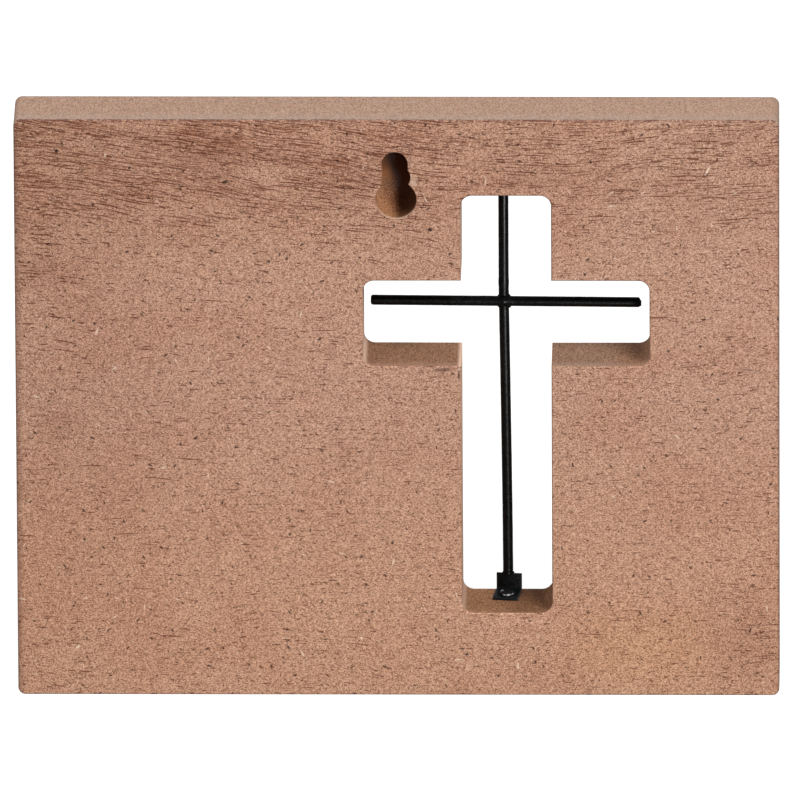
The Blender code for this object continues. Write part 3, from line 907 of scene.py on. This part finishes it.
def cut_faces(mix, place):
    """Sawn and routed faces: finer and paler outside, browner in the window, with painted light and shade on
    the window's walls and in the keyhole.
    """
    x, y, z = mix.axes(place)
    fine = mix.ramp(mix.noise(mix.scaled(place, (1, 0.4, 1)), 3.6, 1.0, 0.5), 0.28, 0.72)
    clouds = mix.ramp(mix.noise(place, 0.35, 2.0, 0.5), 0.35, 0.7)
    sawn = mix.blend(fine, srgb(135, 106, 88), srgb(184, 155, 137))
    sawn = mix.blend(mix.times(clouds, 0.10), sawn, srgb(206, 140, 100))
    sawn = mix.blend(mix.ramp(y, 2.0, 9.0, 0, 0.35), sawn, srgb(166, 150, 140))
    sawn = mix.blend(top_edge_line(mix, place), sawn, TOP_EDGE_DARK)
    far = mix.times(mix.ramp(y, -8.6, -8.9), mix.ramp(y, -9.45, -9.25))
    far = mix.times(far, mix.ramp(z, 162.0, 162.5, 0, 0.85))
    sawn = mix.blend(far, sawn, srgb(98, 88, 80))

    routed = mix.blend(fine, srgb(104, 73, 54), srgb(157, 118, 93))
    # Painted light: the window's walls lighter near the back and front faces, where more light reaches in,
    # more so higher up.
    rim = mix.most(mix.ramp(y, 5.5, 8.8), mix.ramp(y, -8.3, -9.0))
    rim = mix.times(rim, mix.ramp(z, 30, 80, 0.15, 0.4))
    routed = mix.blend(rim, routed, srgb(160, 128, 110))
    # Painted light: the ledge of the -X arm lightened inside the key light's shadow.
    shadow_lift = mix.blot(place, -49.0, 94.0, 10.0, 6.0, 0, 0.5)
    routed = mix.blend(shadow_lift, routed, (1.04, 1.16, 1.30), "MULTIPLY")
    # Painted light and shade low in the shaft: lighter on its +X side, darker on its -X side where the key
    # light's shadow falls.
    foot_light_shade = mix.blend(mix.ramp(x, -20, -34), (1.11, 1.08, 0.97), (0.72, 0.66, 0.58))
    routed = mix.blend(mix.ramp(z, 60, 25), routed, foot_light_shade, "MULTIPLY")
    beside = mix.gap(x, (ARM_WALL_X + SHAFT_WALL_X) / 2 / MM)
    beside = mix.gap(beside, (ARM_WALL_X - SHAFT_WALL_X) / 2 / MM)
    lit_wall = mix.times(mix.ramp(beside, 1.4, 0.1), mix.ramp(z, 30, 90, 0.5, 0.9))
    routed = mix.blend(lit_wall, routed, srgb(220, 186, 164))
    across = mix.gap(x, WINDOW_X / MM)
    up = mix.gap(z, WINDOW_MIDDLE_Z / MM)
    inside = mix.times(mix.ramp(across, 38.2, 38.8, 1, 0), mix.ramp(up, 59.1, 59.8, 1, 0))
    inside = mix.times(inside, mix.ramp(y, -9.50, -9.35))
    colour = mix.blend(inside, sawn, routed)

    # Painted light and shade in the keyhole: lit on its +X side, shaded on its -X side and up the slot where
    # the rim keeps the key light off, with a lit crescent low at its opening.
    up_slot = mix.most(mix.minus(z, 142.0), 0.0)
    shade = mix.ramp(mix.minus(mix.times(up_slot, 0.35), x), -1.9, 1.1)
    lit = mix.blend(fine, srgb(124, 79, 50), srgb(195, 144, 107))
    lit = mix.blend(mix.ramp(z, 141.5, 147), lit, srgb(226, 156, 98))
    keyhole_shade_colour = mix.blend(fine, srgb(56, 28, 18), srgb(84, 48, 32))
    shade_colour_tint = mix.blend(mix.ramp(z, 144, 140), (1.46, 1.17, 0.88), (1.36, 1.68, 1.60))
    keyhole_shade_colour = mix.blend(1.0, keyhole_shade_colour, shade_colour_tint, "MULTIPLY")
    keyhole_light_shade = mix.blend(shade, lit, keyhole_shade_colour)
    mouth_light = mix.times(mix.ramp(y, 7.2, 8.8), mix.ramp(z, 141, 137, 0.25, 0.9))
    keyhole_light_shade = mix.blend(mouth_light, keyhole_light_shade, srgb(196, 164, 142))
    keyhole = mix.blot(place, 0.2, 144.5, 7.2, 11.5, 0, 0.1)
    keyhole = mix.times(keyhole, mix.ramp(y, -2.0, -1.0))
    return mix.blend(keyhole, colour, keyhole_light_shade)


def fibreboard():
    """Raw fibreboard: speckled, streaked back, finer cut edges, and a smooth plain front."""
    mix = Mixer("raw_fibreboard")
    place = mix.place()
    y = mix.axes(place)[1]
    grain = mix.noise(mix.scaled(place, (0.85, 1, 1)), 4.6, 0.0, 0.5)
    crumbs = mix.crumbs(mix.scaled(place, (0.8, 1, 1)), 0.22)
    speckle = mix.plus(mix.times(grain, 0.35), mix.times(crumbs, 0.65))
    back, pits = raw_back(mix, place, speckle)
    colour = mix.blend(mix.ramp(y, 9.1, 9.45), cut_faces(mix, place), back)
    height = mix.minus(grain, mix.times(pits, 0.6))
    bump = mix.add("Bump", {"Height": height, "Strength": 0.35, "Distance": 0.06 * MM})
    return mix.finish({
        "Base Color": colour,
        "Roughness": 0.85,
        "Specular IOR Level": 0.2,
        "Normal": bump.outputs[0],
    })


def black_paint():
    """Satin black paint over drawn wire, strip and weld, with painted highlights along the strip's side edges
    and chipped paint with a painted glint at the crossbar's end.
    """
    mix = Mixer("black_paint")
    place = mix.place()
    z = mix.axes(place)[2]
    cloud = mix.noise(place, 0.5, 2.0, 0.5)
    colour = mix.blend(mix.ramp(cloud, 0.35, 0.65), (0.0015, 0.0015, 0.0015), (0.0045, 0.0045, 0.0045))
    strip = mix.ramp(z, 24.4, 24.1)
    colour = mix.blend(strip, colour, (0.006, 0.008, 0.0085))
    # Painted highlight: pale lines along the foot strip's side edges.
    side_way = Matrix.Rotation(BRACKET_TWIST, 4, "Z") @ Vector((1, 0, 0))
    foot = (BRACKET_X / MM, WIRE_Y / MM, 0)
    away = mix.add("VectorMath", {0: place, 1: foot}, operation="SUBTRACT").outputs[0]
    side = mix.add("VectorMath", {0: away, 1: side_way}, operation="DOT_PRODUCT").outputs["Value"]
    side = mix.ramp(mix.maths("ABSOLUTE", side), STRIP_WIDTH / MM / 2 - 0.22, STRIP_WIDTH / MM / 2 - 0.08)
    colour = mix.blend(mix.times(strip, side), colour, (0.045, 0.042, 0.048))
    # A pale spot at the crossbar's cut end: chipped paint with a painted glint.
    chip_and_glint = mix.blot(place, -64.9, 105.5, 0.5, 0.45, 0, 0.5)
    colour = mix.blend(mix.times(chip_and_glint, 0.8), colour, (0.10, 0.10, 0.10))
    rough = mix.ramp(mix.noise(place, 1.2, 3.0, 0.6), 0.3, 0.7, 0.24, 0.40)
    height = mix.noise(place, 2.2, 2.0, 0.5)
    bump = mix.add("Bump", {"Height": height, "Strength": 0.3, "Distance": 0.03 * MM})
    return mix.finish({
        "Base Color": colour,
        "Roughness": rough,
        "Specular IOR Level": 0.13,
        "Normal": bump.outputs[0],
    })


def dark_steel():
    """Blackened steel screw, bright along the key-light side of its rim, partly from wear and partly a
    painted highlight, with a painted highlight spot beside its recess.
    """
    mix = Mixer("dark_steel")
    place = mix.place()
    x, y, z = mix.axes(place)
    centre = Matrix.Rotation(BRACKET_TWIST, 4, "Z") @ Vector((0, SCREW_REACH, 0))
    centre = (centre + Vector((BRACKET_X, WIRE_Y, 0))) / MM
    out = mix.joined(mix.minus(x, centre.x), mix.minus(y, centre.y), 0.0)
    reach = mix.add("VectorMath", {0: out}, operation="LENGTH").outputs["Value"]
    rim = mix.ramp(reach, SCREW_HEAD_R / MM - 0.14, SCREW_HEAD_R / MM - 0.04)
    rim = mix.times(rim, mix.ramp(z, 24.38, 24.5))
    wear = mix.noise(place, 1.1, 2.0, 0.6)
    # Painted highlight: the bright band is kept to the rim's side towards the key light, broken by wear.
    highlight_side = mix.add("VectorMath", {0: out, 1: (-0.5, 0.6, 0)}, operation="DOT_PRODUCT").outputs["Value"]
    wear_and_highlight = mix.times(rim, mix.ramp(highlight_side, 0.1, 0.7))
    wear_and_highlight = mix.times(wear_and_highlight, mix.ramp(wear, 0.36, 0.50))
    # Painted highlight: a bright spot on the head beside the recess.
    beside = mix.add("VectorMath", {0: out, 1: (1.25, -0.1, 0)}, operation="DISTANCE").outputs["Value"]
    wear_and_highlight = mix.most(wear_and_highlight, mix.ramp(beside, 0.5, 0.25))
    colour = mix.blend(wear_and_highlight, (0.008, 0.008, 0.009), (0.32, 0.32, 0.33))
    return mix.finish({
        "Base Color": colour,
        "Metallic": 0.15,
        "Roughness": 0.5,
        "Specular IOR Level": 0.12,
    })


def pale_floor():
    """A lit white table: bright of itself, so that only a faint shadow shows on it."""
    mix = Mixer("pale_floor")
    return mix.finish({
        "Base Color": (0.22, 0.22, 0.22),
        "Roughness": 0.9,
        "Specular IOR Level": 0.0,
        "Emission Color": (1, 1, 1),
        "Emission Strength": 0.92,
    })


# Studio

CAMERA_TARGET = (0.000214, 0.009525, 0.084814)
CAMERA_AZIMUTH = math.radians(181.1)
CAMERA_ELEVATION = math.radians(20.012)
CAMERA_ROLL = math.radians(-0.2936)
CAMERA_DISTANCE = 9.0
CAMERA_LENS = 1535.35
CLIP_START = 0.05
CLIP_END = 50

# Lights: azimuth, elevation, distance and side in metres, power in watts
SOFT_LIGHTS = {
    "key_light": (213, 45, 2.6, 0.95, 71),
    "fill_light": (130, 40, 2.6, 1.3, 20),
    "front_light": (25, 6, 2.6, 1.2, 55),
}
GLINT_LIGHT = (208, -6, 0.42, 0.06, 2.5)
SURROUND_LIGHT = 0.27
FLOOR_SIZE = 12


def direction(azimuth, elevation):
    """From the plaque towards a place at this azimuth and elevation."""
    return Vector((math.sin(azimuth) * math.cos(elevation), -math.cos(azimuth) * math.cos(elevation),
                   math.sin(elevation)))


def set_camera():
    """The photograph's viewpoint."""
    data = bpy.data.cameras.new("photo_camera")
    camera = bpy.data.objects.new("photo_camera", data)
    bpy.context.scene.collection.objects.link(camera)
    back = direction(CAMERA_AZIMUTH, CAMERA_ELEVATION)
    right = Vector((0, 0, 1)).cross(back).normalized()
    up = back.cross(right)
    turned_right = right * math.cos(CAMERA_ROLL) + up * math.sin(CAMERA_ROLL)
    turned_up = up * math.cos(CAMERA_ROLL) - right * math.sin(CAMERA_ROLL)
    frame = Matrix((turned_right, turned_up, back)).transposed().to_4x4()
    frame.translation = Vector(CAMERA_TARGET) + back * CAMERA_DISTANCE
    camera.matrix_world = frame
    data.lens = CAMERA_LENS
    data.sensor_width = 36
    data.clip_start = CLIP_START
    data.clip_end = CLIP_END
    bpy.context.scene.camera = camera


def softbox(name, azimuth, elevation, distance, size, power):
    """A square studio light aimed at the middle of the plaque."""
    data = bpy.data.lights.new(name, "AREA")
    data.size = size
    data.energy = power
    light = bpy.data.objects.new(name, data)
    bpy.context.scene.collection.objects.link(light)
    way = direction(math.radians(azimuth), math.radians(elevation))
    light.location = Vector(CAMERA_TARGET) + way * distance
    light.rotation_euler = way.to_track_quat("Z", "Y").to_euler()
    return light


def build_studio():
    """Pale floor, soft lights and a plain white surround."""
    clear_pick()
    bpy.ops.mesh.primitive_plane_add(size=FLOOR_SIZE, location=(0, 0, 0))
    floor = settle("studio_floor")
    floor.data.materials.append(pale_floor())
    floor.visible_diffuse = False
    floor.visible_glossy = False
    for name, place in SOFT_LIGHTS.items():
        light = softbox(name, *place)
        light.visible_glossy = False
    glint = softbox("glint_light", *GLINT_LIGHT)
    glint.visible_diffuse = False
    glint.visible_camera = False
    world = bpy.data.worlds.new("studio")
    bpy.context.scene.world = world
    world.use_nodes = True
    tree = world.node_tree
    dim = tree.nodes["Background"]
    dim.inputs["Color"].default_value = (1, 1, 1, 1)
    dim.inputs["Strength"].default_value = SURROUND_LIGHT
    white = tree.nodes.new("ShaderNodeBackground")
    white.inputs["Color"].default_value = (1, 1, 1, 1)
    path = tree.nodes.new("ShaderNodeLightPath")
    choose = tree.nodes.new("ShaderNodeMixShader")
    tree.links.new(path.outputs["Is Camera Ray"], choose.inputs[0])
    tree.links.new(dim.outputs[0], choose.inputs[1])
    tree.links.new(white.outputs[0], choose.inputs[2])
    tree.links.new(choose.outputs[0], tree.nodes["World Output"].inputs["Surface"])
    bpy.context.scene.view_settings.view_transform = "Standard"


def main():
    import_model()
    set_camera()
    build_studio()
    build_board(fibreboard())
    paint = black_paint()
    build_upright(paint)
    build_crossbar(paint)
    build_crossing_weld(paint)
    build_strip(paint)
    build_foot_weld(paint)
    build_screw(dark_steel())


main()
